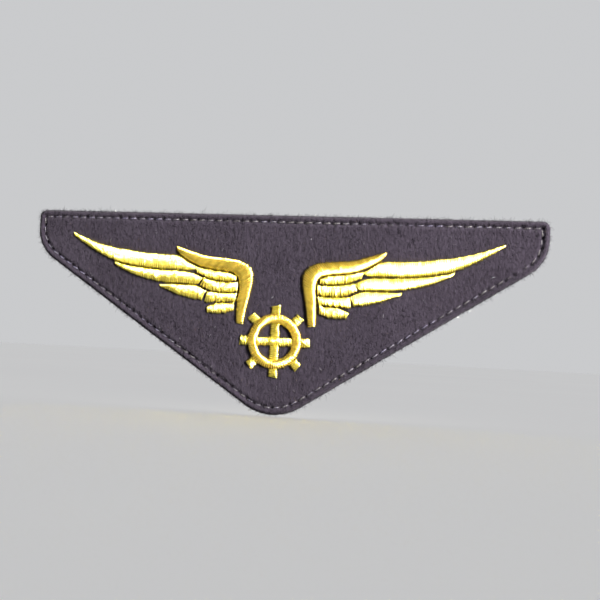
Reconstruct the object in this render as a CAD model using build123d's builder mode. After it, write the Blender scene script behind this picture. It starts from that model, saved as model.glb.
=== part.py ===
from build123d import *
import math
import os

# Flight-crew wings badge: a felted wool patch with two wings and a cogged wheel in satin stitch.
# Millimetres. The badge stands upright as it is worn: +X to the right of someone who faces it,
# +Z up, the back face on the plane y = 0 and the face towards -Y. The origin is the centre of
# the back face. Depths are measured from the back face towards the face.

# Patch outline
BADGE_W = 118.2
BADGE_H = 44.8
EDGE_SLOPE = 32.9  # degrees that the two lower edges rise from the point
R_POINT = 11.75
R_SIDE = 8.5
R_TOP = 1.4

# Layers
BACKING_T = 0.5
BACKING_INSET = 0.5  # the backing is trimmed inside the cloth's edge
CLOTH_T = 1.3
RIM_ROLL = 0.5  # the cloth's edge rolls over outside the seam
FACE_D = BACKING_T + CLOTH_T  # depth of the cloth's face

# Edge seam
SEAM_INSET = 1.5
SEAM_PITCH = 2.1
SEAM_THREAD_R = 0.13
GROOVE_W = 0.8
GROOVE_DEEP = 0.34
STITCH_RISE = 0.19  # from the groove's floor to the middle of the thread that lies over it
NEEDLE_GAP = 0.22  # from the needle's place to each thread that goes down beside it

# Satin stitch
FEATHER_T = 0.65
ARM_T = 0.95
RIM_T = 0.9
SPOKE_T = 0.5
TOOTH_T = 0.6
EDGE_BEVEL = 0.16  # where the threads turn down into the cloth
UNDERLAY_SHARE = 0.5  # of a column's width
UNDERLAY_T = 0.25
BOBBIN_SHARE = 0.34  # of a column's width
BOBBIN_T = 0.15
END_PULL = 0.4  # how far underlay and lower thread stop short of a column's ends

# Wheel
WHEEL_Z = -6.05
RIM_R_OUT = 6.25
RIM_R_IN = 4.05
TOOTH_COUNT = 8
TOOTH_W = 2.0
TOOTH_R_OUT = 8.0
SPOKE_W = 1.85
CROSSING_REACH = 0.5  # how far the level spoke runs before it comes down off the upright one
STITCH_GAP = 0.04  # between a column's end and the column it butts against

# Right wing. A column is a list of stations along it, each the two ends (x, z) of a thread
# that crosses the column, from its root to its tip.
ARM = [
    ((7.4, -2.4), (9.1, -2.3)),
    ((7.0, 0.6), (9.3, 0.6)),
    ((6.4, 3.6), (9.1, 3.6)),
    ((5.8, 6.6), (8.9, 6.2)),
    ((5.8, 9.0), (9.2, 7.8)),
    ((7.1, 11.0), (10.1, 8.8)),
    ((9.6, 12.0), (11.6, 9.3)),
    ((12.9, 12.35), (13.8, 9.55)),
    ((16.5, 12.65), (16.9, 9.95)),
    ((19.8, 13.45), (20.0, 10.95)),
    ((22.4, 14.3), (22.6, 12.4)),
    ((24.0, 14.75), (24.3, 14.0)),
]
LONG_FEATHERS = [
    [
        ((19.8, 10.4), (19.6, 9.5)),
        ((21.6, 11.35), (22.2, 9.4)),
        ((23.6, 12.5), (24.8, 9.4)),
        ((26.8, 12.8), (27.4, 9.4)),
        ((30.9, 13.0), (31.2, 9.7)),
        ((36.0, 13.55), (36.4, 10.35)),
        ((41.2, 14.4), (41.7, 12.0)),
        ((45.3, 15.5), (45.6, 14.0)),
        ((49.8, 17.15), (50.1, 16.75)),
    ],
    [
        ((17.9, 7.7), (18.5, 6.2)),
        ((19.8, 8.6), (20.6, 6.25)),
        ((22.9, 9.0), (23.4, 6.3)),
        ((26.8, 9.1), (27.2, 6.4)),
        ((31.0, 9.35), (31.4, 7.1)),
        ((35.2, 9.8), (35.5, 8.4)),
        ((39.2, 10.65), (39.4, 10.3)),
    ],
    [
        ((16.9, 4.8), (17.6, 2.6)),
        ((19.0, 5.75), (19.7, 2.85)),
        ((22.2, 5.95), (22.7, 3.5)),
        ((25.4, 5.9), (25.6, 4.5)),
        ((27.9, 5.75), (27.9, 5.35)),
    ],
]
COVERT_FEATHERS = [
    [
        ((10.0, 8.3), (9.7, 7.3)),
        ((11.6, 8.95), (12.2, 7.25)),
        ((14.4, 9.3), (14.7, 7.4)),
        ((17.4, 9.8), (17.3, 8.1)),
        ((19.2, 10.15), (19.0, 8.8)),
    ],
    [
        ((9.4, 6.85), (9.4, 4.8)),
        ((12.0, 6.85), (12.0, 4.65)),
        ((14.7, 7.0), (15.0, 4.75)),
        ((17.3, 7.65), (18.05, 5.95)),
    ],
    [
        ((9.55, 4.4), (9.8, 2.65)),
        ((12.0, 4.3), (12.2, 2.5)),
        ((14.4, 4.4), (14.7, 2.3)),
        ((16.3, 4.6), (17.2, 2.15)),
    ],
    [
        ((10.1, 2.2), (10.0, 0.5)),
        ((12.2, 2.15), (12.0, -0.1)),
        ((14.4, 1.9), (14.2, -0.2)),
        ((16.3, 1.0), (16.0, -0.15)),
    ],
]
SIDES = [("left", -1), ("right", 1)]


def save(builder, name):
    """Write one finished piece as parts/NAME.step."""
    builder.part.label = name
    export_step(builder.part, f"parts/{name}.step")


def at_depth(depth):
    """The sketch plane at a depth, seen from the face: x to the right, y up."""
    return Plane.XZ.offset(depth)


def patch_outline(inset=0.0):
    """The patch's outline, moved in by inset all round."""
    slope = math.radians(EDGE_SLOPE)
    half_w = BADGE_W / 2 - inset
    top_z = BADGE_H / 2 - inset
    point_z = -BADGE_H / 2 - R_POINT * (1 / math.cos(slope) - 1) + inset / math.cos(slope)
    side_z = point_z + math.tan(slope) * half_w
    with BuildSketch() as outline:
        with BuildLine():
            Polyline(
                (0, point_z),
                (half_w, side_z),
                (half_w, top_z),
                (-half_w, top_z),
                (-half_w, side_z),
                close=True,
            )
        make_face()
        for corner_z, radius in ((point_z, R_POINT), (side_z, R_SIDE), (top_z, R_TOP)):
            if radius > inset:
                corners = [v for v in outline.vertices() if abs(v.Y - corner_z) < 1e-6]
                fillet(corners, radius=radius - inset)
    return outline.sketch


def groove_face():
    """The strip that the edge seam presses into the cloth."""
    with BuildSketch() as groove:
        add(patch_outline(SEAM_INSET - GROOVE_W / 2))
        add(patch_outline(SEAM_INSET + GROOVE_W / 2), mode=Mode.SUBTRACT)
    return groove.sketch


def between(a, b, share):
    """The point that is a share of the way from a to b."""
    return (a[0] + share * (b[0] - a[0]), a[1] + share * (b[1] - a[1]))


def narrowed(stations, share):
    """A column's stations, narrowed about its spine to a share of its width, with short ends."""
    inner = [(between(a, b, (1 - share) / 2), between(a, b, (1 + share) / 2)) for a, b in stations]
    ends = []
    for end, beside in ((inner[0], inner[1]), (inner[-1], inner[-2])):
        pull = END_PULL / math.dist(between(*end, 0.5), between(*beside, 0.5))
        ends.append((between(end[0], beside[0], pull), between(end[1], beside[1], pull)))
    return [ends[0], *inner[1:-1], ends[1]]


def column_face(stations, sign=1):
    """The outline of a satin column, its two long edges smooth through the stations."""
    first = [(sign * a[0], a[1]) for a, _ in stations]
    second = [(sign * b[0], b[1]) for _, b in stations]
    with BuildSketch() as face:
        with BuildLine():
            Spline(*first)
            Line(first[-1], second[-1])
            Spline(*second)
            Line(second[0], first[0])
        make_face()
    return face.sketch


def wing_columns():
    """Every column of a wing: its name, stations and thickness."""
    columns = [("wing_arm", ARM, ARM_T)]
    for number, stations in enumerate(LONG_FEATHERS, 1):
        columns.append((f"long_feather_{number}", stations, FEATHER_T))
    for number, stations in enumerate(COVERT_FEATHERS, 1):
        columns.append((f"covert_feather_{number}", stations, FEATHER_T))
    return columns


def spoke_face(width, r_end, upright):
    """A spoke's outline, from side to side of a circle round the hub."""
    with BuildSketch() as face:
        with Locations((0, WHEEL_Z)):
            Circle(r_end)
            Rectangle(
                width if upright else 3 * r_end,
                3 * r_end if upright else width,
                mode=Mode.INTERSECT,
            )
    return face.sketch


def ring_face(r_in, r_out):
    """A ring round the wheel's hub."""
    with BuildSketch() as face:
        with Locations((0, WHEEL_Z)):
            Circle(r_out)
            Circle(r_in, mode=Mode.SUBTRACT)
    return face.sketch


def tooth_face(number, width, r_in, r_out):
    """One of the wheel's teeth, its foot curved to fit the rim."""
    turn = 90 - (number - 1) * 360 / TOOTH_COUNT
    with BuildSketch() as face:
        with Locations(Location((0, WHEEL_Z), turn)):
            with Locations((r_out / 2, 0)):
                Rectangle(r_out, width)
        with Locations((0, WHEEL_Z)):
            Circle(r_in, mode=Mode.SUBTRACT)
    return face.sketch


def wheel_threads(share, end_gap):
    """The wheel's columns narrowed to a share of their width, for what lies under them."""
    rim_mid = (RIM_R_OUT + RIM_R_IN) / 2
    rim_half = (RIM_R_OUT - RIM_R_IN) / 2
    with BuildSketch() as face:
        add(ring_face(rim_mid - share * rim_half, rim_mid + share * rim_half))
        for upright in (True, False):
            add(spoke_face(share * SPOKE_W, RIM_R_IN - end_gap, upright))
        for number in range(1, TOOTH_COUNT + 1):
            add(tooth_face(number, share * TOOTH_W, RIM_R_OUT + end_gap, TOOTH_R_OUT - end_gap))
    return face.sketch


def wing_threads(share, sign):
    """A wing's columns narrowed to a share of their width, for what lies under them."""
    with BuildSketch() as face:
        for _, stations, _ in wing_columns():
            add(column_face(narrowed(stations, share), sign))
    return face.sketch


def seam_runs():
    """The seam in two runs, the top edge and the rest, each from corner to corner."""
    wire = patch_outline(SEAM_INSET).face().outer_wire()
    top = wire.edges().sort_by(Axis.Y)[-1]
    rest = [edge for edge in wire.edges() if edge.center().Y < top.center().Y - 0.01]
    return [Wire([top]), Wire(rest)]


def stitch(pitch):
    """One seam stitch along X, on a floor at z = 0: its two ends bend down to where they go in."""
    reach = pitch / 2 - NEEDLE_GAP
    with BuildPart() as thread:
        with BuildLine(Plane.XZ) as path:
            Polyline((-reach, 0), (-reach, STITCH_RISE), (reach, STITCH_RISE), (reach, 0))
        with BuildSketch(Plane(path.line @ 0, z_dir=path.line % 0)):
            RegularPolygon(SEAM_THREAD_R, 8)
        sweep(transition=Transition.RIGHT)
    return thread.part


def stitch_groups():
    """For each run of the seam, its stitch and the place of each on the seam's plane."""
    groups = []
    for wire in seam_runs():
        count = round(wire.length / SEAM_PITCH)
        needles = [wire.position_at(n / count) for n in range(count + 1)]
        places = []
        for a, b in zip(needles, needles[1:]):
            turn = math.degrees(math.atan2(b.Y - a.Y, b.X - a.X))
            places.append(Location((a + b) / 2, turn))
        groups.append((stitch(wire.length / count), places))
    return groups


os.makedirs("parts", exist_ok=True)

# Ground cloth, with the rim rolled over and the seam's groove
with BuildPart() as ground_cloth:
    with BuildSketch(at_depth(BACKING_T)):
        add(patch_outline())
    extrude(amount=CLOTH_T)
    fillet(ground_cloth.faces().sort_by(Axis.Y)[0].edges(), radius=RIM_ROLL)
    with BuildSketch(at_depth(FACE_D)):
        add(groove_face())
    extrude(amount=-GROOVE_DEEP, mode=Mode.SUBTRACT)
save(ground_cloth, "ground_cloth")

# Stabiliser backing, with the seam's groove and the hollows that the lower thread lies in
with BuildPart() as stabiliser_backing:
    with BuildSketch(at_depth(0)):
        add(patch_outline(BACKING_INSET))
    extrude(amount=BACKING_T)
    with BuildSketch(at_depth(0)):
        add(groove_face())
    extrude(amount=GROOVE_DEEP, mode=Mode.SUBTRACT)
    with BuildSketch(at_depth(0)):
        add(wheel_threads(BOBBIN_SHARE, END_PULL))
        for _, sign in SIDES:
            add(wing_threads(BOBBIN_SHARE, sign))
    extrude(amount=BOBBIN_T, mode=Mode.SUBTRACT)
save(stabiliser_backing, "stabiliser_backing")

# Edge seam: the top thread lies in the face's groove, the bobbin thread in the back's
seam_groups = stitch_groups()
face_floor = at_depth(FACE_D - GROOVE_DEEP)
back_floor = Plane(at_depth(GROOVE_DEEP).origin, x_dir=(-1, 0, 0), z_dir=(0, 1, 0))

with BuildPart() as edge_seam_top_thread:
    for one_stitch, places in seam_groups:
        with Locations(*[face_floor.location * place for place in places]):
            add(one_stitch)
save(edge_seam_top_thread, "edge_seam_top_thread")

with BuildPart() as edge_seam_bobbin_thread:
    for one_stitch, places in seam_groups:
        with Locations(*[back_floor.location * place for place in places]):
            add(one_stitch)
save(edge_seam_bobbin_thread, "edge_seam_bobbin_thread")

# Wings: each satin column is a shell over its underlay
for side, sign in SIDES:
    for name, stations, height in wing_columns():
        with BuildPart() as column:
            with BuildSketch(at_depth(FACE_D)):
                add(column_face(stations, sign))
            extrude(amount=height)
            chamfer(column.faces().sort_by(Axis.Y)[0].edges(), length=EDGE_BEVEL)
            with BuildSketch(at_depth(FACE_D)):
                add(column_face(narrowed(stations, UNDERLAY_SHARE), sign))
            extrude(amount=UNDERLAY_T, mode=Mode.SUBTRACT)
        save(column, f"{side}_{name}")

    with BuildPart() as wing_underlay:
        with BuildSketch(at_depth(FACE_D)):
            add(wing_threads(UNDERLAY_SHARE, sign))
        extrude(amount=UNDERLAY_T)
    save(wing_underlay, f"{side}_wing_underlay")

    with BuildPart() as wing_bobbin_thread:
        with BuildSketch(at_depth(0)):
            add(wing_threads(BOBBIN_SHARE, sign))
        extrude(amount=BOBBIN_T)
    save(wing_bobbin_thread, f"{side}_wing_bobbin_thread")

# Wheel: rim, upright spoke, level spoke laid over it, and teeth round the rim
with BuildPart() as wheel_rim:
    with BuildSketch(at_depth(FACE_D)):
        add(ring_face(RIM_R_IN, RIM_R_OUT))
    extrude(amount=RIM_T)
    chamfer(wheel_rim.faces().sort_by(Axis.Y)[0].edges(), length=EDGE_BEVEL)
    with BuildSketch(at_depth(FACE_D)):
        add(wheel_threads(UNDERLAY_SHARE, END_PULL))
    extrude(amount=UNDERLAY_T, mode=Mode.SUBTRACT)
save(wheel_rim, "wheel_rim")

with BuildPart() as wheel_spoke_vertical:
    with BuildSketch(at_depth(FACE_D)):
        add(spoke_face(SPOKE_W, RIM_R_IN - STITCH_GAP, True))
    extrude(amount=SPOKE_T)
    with BuildSketch(at_depth(FACE_D)):
        add(wheel_threads(UNDERLAY_SHARE, END_PULL))
    extrude(amount=UNDERLAY_T, mode=Mode.SUBTRACT)
save(wheel_spoke_vertical, "wheel_spoke_vertical")

with BuildPart() as wheel_spoke_horizontal:
    with BuildSketch(at_depth(FACE_D)):
        add(spoke_face(SPOKE_W, RIM_R_IN - STITCH_GAP, False))
    extrude(amount=SPOKE_T)
    with BuildSketch(at_depth(FACE_D)):
        with Locations((0, WHEEL_Z)):
            Rectangle(SPOKE_W + 2 * CROSSING_REACH, SPOKE_W)
    extrude(amount=2 * SPOKE_T)
    with BuildSketch(at_depth(FACE_D)):
        with Locations((0, WHEEL_Z)):
            Rectangle(SPOKE_W + 2 * STITCH_GAP, SPOKE_W)
    extrude(amount=SPOKE_T, mode=Mode.SUBTRACT)
    with BuildSketch(at_depth(FACE_D)):
        add(wheel_threads(UNDERLAY_SHARE, END_PULL))
    extrude(amount=UNDERLAY_T, mode=Mode.SUBTRACT)
save(wheel_spoke_horizontal, "wheel_spoke_horizontal")

for number in range(1, TOOTH_COUNT + 1):
    with BuildPart() as wheel_tooth:
        with BuildSketch(at_depth(FACE_D)):
            add(tooth_face(number, TOOTH_W, RIM_R_OUT + STITCH_GAP, TOOTH_R_OUT))
        extrude(amount=TOOTH_T)
        chamfer(wheel_tooth.faces().sort_by(Axis.Y)[0].edges(), length=EDGE_BEVEL)
        with BuildSketch(at_depth(FACE_D)):
            add(wheel_threads(UNDERLAY_SHARE, END_PULL))
        extrude(amount=UNDERLAY_T, mode=Mode.SUBTRACT)
    save(wheel_tooth, f"wheel_tooth_{number}")

with BuildPart() as wheel_underlay:
    with BuildSketch(at_depth(FACE_D)):
        add(wheel_threads(UNDERLAY_SHARE, END_PULL))
    extrude(amount=UNDERLAY_T)
save(wheel_underlay, "wheel_underlay")

with BuildPart() as wheel_bobbin_thread:
    with BuildSketch(at_depth(0)):
        add(wheel_threads(BOBBIN_SHARE, END_PULL))
    extrude(amount=BOBBIN_T)
save(wheel_bobbin_thread, "wheel_bobbin_thread")
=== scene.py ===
import math

import bpy
import numpy as np
from mathutils import Matrix, Vector, kdtree

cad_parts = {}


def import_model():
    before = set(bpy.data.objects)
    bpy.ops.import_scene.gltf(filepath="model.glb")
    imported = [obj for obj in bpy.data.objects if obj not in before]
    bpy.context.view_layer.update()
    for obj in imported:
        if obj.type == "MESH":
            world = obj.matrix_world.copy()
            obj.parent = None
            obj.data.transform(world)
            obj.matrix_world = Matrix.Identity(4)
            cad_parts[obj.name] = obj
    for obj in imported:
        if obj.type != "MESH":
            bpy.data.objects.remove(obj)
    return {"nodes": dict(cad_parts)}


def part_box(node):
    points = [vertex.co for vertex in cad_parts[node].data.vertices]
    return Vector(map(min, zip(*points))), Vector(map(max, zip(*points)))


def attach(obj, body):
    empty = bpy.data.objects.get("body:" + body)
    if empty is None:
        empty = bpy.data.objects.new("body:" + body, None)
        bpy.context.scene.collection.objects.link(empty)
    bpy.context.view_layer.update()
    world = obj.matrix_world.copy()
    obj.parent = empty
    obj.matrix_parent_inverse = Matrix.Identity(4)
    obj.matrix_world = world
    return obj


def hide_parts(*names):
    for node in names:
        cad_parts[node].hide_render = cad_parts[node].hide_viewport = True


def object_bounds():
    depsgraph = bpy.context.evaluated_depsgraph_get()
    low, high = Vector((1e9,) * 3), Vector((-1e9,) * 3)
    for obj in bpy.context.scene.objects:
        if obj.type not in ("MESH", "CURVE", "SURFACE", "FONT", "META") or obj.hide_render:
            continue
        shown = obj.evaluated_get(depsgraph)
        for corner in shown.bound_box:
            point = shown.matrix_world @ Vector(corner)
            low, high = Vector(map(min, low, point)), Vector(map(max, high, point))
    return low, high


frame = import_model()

CAD_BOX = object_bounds()

# Lengths are in millimetres, and a place is (x, up, depth): x to the right of someone who faces
# the badge, and depth from the flat back face towards the embroidered one.
MM = 0.001
FACE_D = -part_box("ground_cloth")[0].y / MM
BACKING_T = -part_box("stabiliser_backing")[0].y / MM
HUB_UP = (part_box("wheel_rim")[0].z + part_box("wheel_rim")[1].z) / 2 / MM

# Embroidery thread
THREAD_R = 0.132
STITCH_PITCH = 0.47  # between needle points on one edge of a column
END_REACH = 0.05  # the first and last needle points stand this far outside a column's ends
RIB = 0.03  # every second thread stands this much higher, and the next as much lower
DIVE = 0.4  # how far a thread's ends run down into the cloth
ARC_STEPS = 9  # points of a thread's path over the crown
THREAD_SIDES = 6
LUMP_PITCH = 2.1  # between the swellings along a column
ALONG_SCATTER = 0.03  # of needle points along a column's edge
ACROSS_DRIFT = 0.04  # slow drift of needle points across it
HEIGHT_SCATTER = 0.015  # from thread to thread
FAR_FROM_ENDS = 9.0  # stands for the distance to an end, where a column has none
# Shares of a column's unevenness: in height, in where its crest lies, and in how lopsided it is
HEIGHT_SHARE, CREST_SHARE, LOPSIDED_SHARE = 0.4, 0.8, 1.7
MOST_SHIFT = 1.3  # of a slanted thread's ends along the column
SHIFT_FADE = 2.5  # distance from a column's ends over which threads straighten
SHIFT_SMOOTHING = 1.2
PADDING_STEP = 0.45
PADDING_UNDER = 0.1  # how far the padding lies under the threads
REAR_THREAD_R = 0.1

# Edge seam
SEAM_PLY_R = 0.085
SEAM_PLY_OFF = 0.07  # from the thread's middle to each ply's
SEAM_TWIST = 0.8  # length of thread in which the plies go once round
SEAM_SLANT = math.radians(7)
SEAM_INSET = 1.5  # of the seam from the patch's edge
SEAM_ARCH = 3.2  # how square a stitch's rise is

# Felt. Reliefs are a height and a half width.
FELT_CELL = 0.27
ROLL_R = 0.65  # of the rounded edge
GROOVE = (0.21, 0.42)  # that the seam pulls in
NEEDLE_DIMPLE = (0.30, 0.36)
SATIN_DIMPLE = (0.07, 0.5)
EDGE_LIP, LIP_IN = (0.12, 0.36), 0.72  # between the seam and the edge, this far in
INNER_SWELL, SWELL_IN = (0.06, 0.6), 2.5  # inside the seam, this far in
BULGE = 0.12  # of the cut edge
FIBRE_SIDES = 3

# Backing
BACKING_CELL = 0.5
BACK_GROOVE = (0.18, 0.4)
BACK_DIMPLE = (0.12, 0.3)


def world(points):
    """Places in millimetres as world coordinates in metres."""
    p = np.asarray(points, float)
    return np.stack([p[..., 0], -p[..., 2], p[..., 1]], axis=-1) * MM


def unit(vectors):
    """Vectors at length 1."""
    return vectors / np.maximum(np.linalg.norm(vectors, axis=-1, keepdims=True), 1e-9)


def distances(line):
    """The distance along a polyline of each of its points."""
    return np.concatenate([[0], np.cumsum(np.linalg.norm(np.diff(line, axis=0), axis=1))])


def joined_up(loop):
    """A closed outline with its first point repeated at its end."""
    return np.concatenate([loop, loop[:1]])


def mound(distance, height, half_width):
    """A smooth swelling that fades over about its half width."""
    return height * np.exp(-((distance / half_width) ** 2))


# ------------ shapes read from the CAD nodes


def node_mesh(name):
    """A CAD node's corner places, merged, and its triangles."""
    mesh = frame["nodes"][name].data
    mesh.calc_loop_triangles()
    raw = np.empty(len(mesh.vertices) * 3)
    mesh.vertices.foreach_get("co", raw)
    raw = raw.reshape(-1, 3) / MM
    triangles = np.empty(len(mesh.loop_triangles) * 3, int)
    mesh.loop_triangles.foreach_get("vertices", triangles)
    places = np.stack([raw[:, 0], raw[:, 2], -raw[:, 1]], axis=1)
    merged, index = np.unique(places.round(3), axis=0, return_inverse=True)
    return merged, index.ravel()[triangles].reshape(-1, 3)


def outline_loops(name, depth):
    """The outlines (x, up) of a CAD node's flat face at a depth, the widest first."""
    places, triangles = node_mesh(name)
    flat = triangles[(abs(places[triangles][:, :, 2] - depth) < 0.01).all(axis=1)]
    edges = {(int(a), int(b)) for t in flat for a, b in zip(t, np.roll(t, -1))}
    follows = {a: b for a, b in sorted(edges) if (b, a) not in edges}
    loops = []
    while follows:
        start, here = follows.popitem()
        loop = [start]
        while here != start:
            loop.append(here)
            here = follows.pop(here)
        loops.append(places[loop][:, :2])
    return sorted(loops, key=lambda loop: -np.ptp(loop, axis=0).sum())


def loose_parts(name):
    """The separate solids of a CAD node, each as its corner places."""
    places, triangles = node_mesh(name)
    parent = list(range(len(places)))

    def root(i):
        while parent[i] != i:
            parent[i] = parent[parent[i]]
            i = parent[i]
        return i

    for a, b, c in triangles.tolist():
        parent[root(a)] = root(b)
        parent[root(b)] = root(c)
    groups = {}
    for i in range(len(places)):
        groups.setdefault(root(i), []).append(i)
    return [places[members] for members in groups.values()]


def resampled(line, step):
    """A polyline with its points evenly spaced, about a step apart."""
    gone = distances(line)
    at = np.linspace(0, gone[-1], max(3, round(gone[-1] / step) + 1))
    return np.stack([np.interp(at, gone, line[:, k]) for k in (0, 1)], axis=1)


def four_sides(loop):
    """A column's outline cut at its four corners."""
    into = unit(loop - np.roll(loop, 1, axis=0))
    out = unit(np.roll(loop, -1, axis=0) - loop)
    corners = np.sort(np.argsort((into * out).sum(axis=1))[:4])
    ring = np.concatenate([loop, loop])
    ends = np.append(corners, corners[0] + len(loop))
    return [ring[a : b + 1] for a, b in zip(ends, ends[1:])]


def rails_of(name):
    """The two long edges of a wing column, both from its root, near the centreline, to its tip."""
    sides = four_sides(outline_loops(name, FACE_D)[0])
    long_one = int(np.argmax([np.linalg.norm(np.diff(s, axis=0), axis=1).sum() for s in sides]))
    one, other = sides[long_one], sides[(long_one + 2) % 4][::-1]
    if abs(one[0, 0]) > abs(one[-1, 0]):
        one, other = one[::-1], other[::-1]
    return (one, other) if one[:, 1].mean() > other[:, 1].mean() else (other, one)


def tooth_rails(name):
    """The two edges of a wheel tooth that run out from the rim."""
    sides = four_sides(outline_loops(name, FACE_D)[0])
    middle = np.mean([s.mean(axis=0) for s in sides], axis=0)
    outward = unit(middle - [0, HUB_UP])
    leaning = [abs(unit(s[-1] - s[0]) @ outward) for s in sides]
    first = 0 if leaning[0] + leaning[2] > leaning[1] + leaning[3] else 1
    one, other = sides[first], sides[first + 2][::-1]
    if (one[0] - one[-1]) @ outward > 0:
        one, other = one[::-1], other[::-1]
    return one, other


def spoke_rails(name):
    """The two long edges of a spoke."""
    low, high = (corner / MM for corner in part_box(name))
    corners = [(low.x, low.z), (high.x, low.z), (high.x, high.z), (low.x, high.z)]
    a, b, c, d = (np.array(p, float) for p in corners)
    if high.x - low.x > high.z - low.z:
        return np.array([d, c]), np.array([a, b])
    return np.array([a, d]), np.array([b, c])


# ------------ satin columns


def squared(rails, step=0.18, smooth_mm=1.4):
    """Two rails paired point by point so that each thread crosses the column squarely.

    Returns the paired points and the distance along the column's spine of each pair.
    """
    a, b = (resampled(rail, step) for rail in rails)
    cost = np.linalg.norm(a[:, None] - b[None], axis=2)
    total = np.full(cost.shape, np.inf)
    total[0] = np.cumsum(cost[0])
    total[:, 0] = np.cumsum(cost[:, 0])
    for i in range(1, len(a)):
        for j in range(1, len(b)):
            best = min(total[i - 1, j - 1], total[i - 1, j], total[i, j - 1])
            total[i, j] = best + cost[i, j]
    i, j = len(a) - 1, len(b) - 1
    steps = [(i, j)]
    while i or j:
        ways = [(i - 1, j - 1), (i - 1, j), (i, j - 1)]
        i, j = min((w for w in ways if min(w) >= 0), key=lambda w: total[w])
        steps.append((i, j))
    pairs = np.array(steps[::-1], float)
    spine = (a[pairs[:, 0].astype(int)] + b[pairs[:, 1].astype(int)]) / 2
    gone = distances(spine)
    at = np.linspace(0, gone[-1], max(4, round(gone[-1] / step)))
    even = np.stack([np.interp(at, gone, pairs[:, k]) for k in (0, 1)], axis=1)
    half = max(1, round(smooth_mm / step / 2))
    for _ in range(2):
        padded = np.concatenate(
            [2 * even[:1] - even[half:0:-1], even, 2 * even[-1:] - even[-2 : -half - 2 : -1]]
        )
        mean = np.ones(2 * half + 1) / (2 * half + 1)
        even = np.stack([np.convolve(padded[:, k], mean, "valid") for k in (0, 1)], axis=1)
    on_a, on_b = (
        np.stack([np.interp(even[:, k], np.arange(len(r)), r[:, c]) for c in (0, 1)], axis=1)
        for k, r in enumerate((a, b))
    )
    spine = (on_a + on_b) / 2
    gone = distances(spine)
    return on_a, on_b, gone


def along(line, gone, at):
    """Points of a polyline at distances along its spine."""
    return np.stack([np.interp(at, gone, line[:, k]) for k in (0, 1)], axis=1)


def slanted(rails, lean_to):
    """Rails paired anew, so the threads lean from square towards one direction all along."""
    on_a, on_b, gone = rails
    across = unit(on_b - on_a)
    width = np.linalg.norm(on_b - on_a, axis=1)
    spine = (on_a + on_b) / 2
    ahead = unit(np.gradient(spine, axis=0))
    towards = np.array(lean_to) * np.sign(across @ np.array(lean_to))[:, None]
    wanted = unit(across + towards)
    shift = width * (wanted * ahead).sum(axis=1) / np.maximum((wanted * across).sum(axis=1), 0.4)
    from_end = np.minimum(gone, gone[-1] - gone)
    shift = np.clip(shift, -MOST_SHIFT, MOST_SHIFT) * np.clip(from_end / SHIFT_FADE, 0, 1)
    half = max(1, round(SHIFT_SMOOTHING / (gone[-1] / len(gone))))
    padded = np.concatenate([np.zeros(half), shift, np.zeros(half)])
    shift = np.convolve(padded, np.ones(2 * half + 1) / (2 * half + 1), "valid")
    at_a = np.maximum.accumulate(np.clip(gone - shift / 2, 0, gone[-1]))
    at_b = np.maximum.accumulate(np.clip(gone + shift / 2, 0, gone[-1]))
    return along(on_a, gone, at_a), along(on_b, gone, at_b), gone


def lengthened(rails, reach):
    """Rails carried on straight past both their ends."""
    on_a, on_b, gone = rails
    longer = []
    for rail in (on_a, on_b):
        before = rail[:1] - reach * unit(rail[1:2] - rail[:1])
        after = rail[-1:] + reach * unit(rail[-1:] - rail[-2:-1])
        longer.append(np.concatenate([before, rail, after]))
    return *longer, np.concatenate([[0], gone + reach, [gone[-1] + 2 * reach]])


def wander(rng, count, reach):
    """Slow random drift from thread to thread, up to about reach."""
    knots = rng.uniform(-1, 1, count // 3 + 3)
    return reach * np.interp(np.arange(count) / 3, np.arange(len(knots)), knots)


def crown_height(width, most, usual_width, into):
    """How high a column stands, from its width and the distance in from its nearer end."""
    return most * np.minimum(1, width / usual_width) ** 0.6 * (1 - 0.55 * np.exp(-into / 0.3))


def lumpiness(rng, at):
    """Gentle swellings along a column, from -1 to 1."""
    drift = np.interp(at, np.linspace(0, at[-1], 6), rng.uniform(0, 5, 6))
    return np.sin(2 * math.pi * at / LUMP_PITCH + drift)


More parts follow.
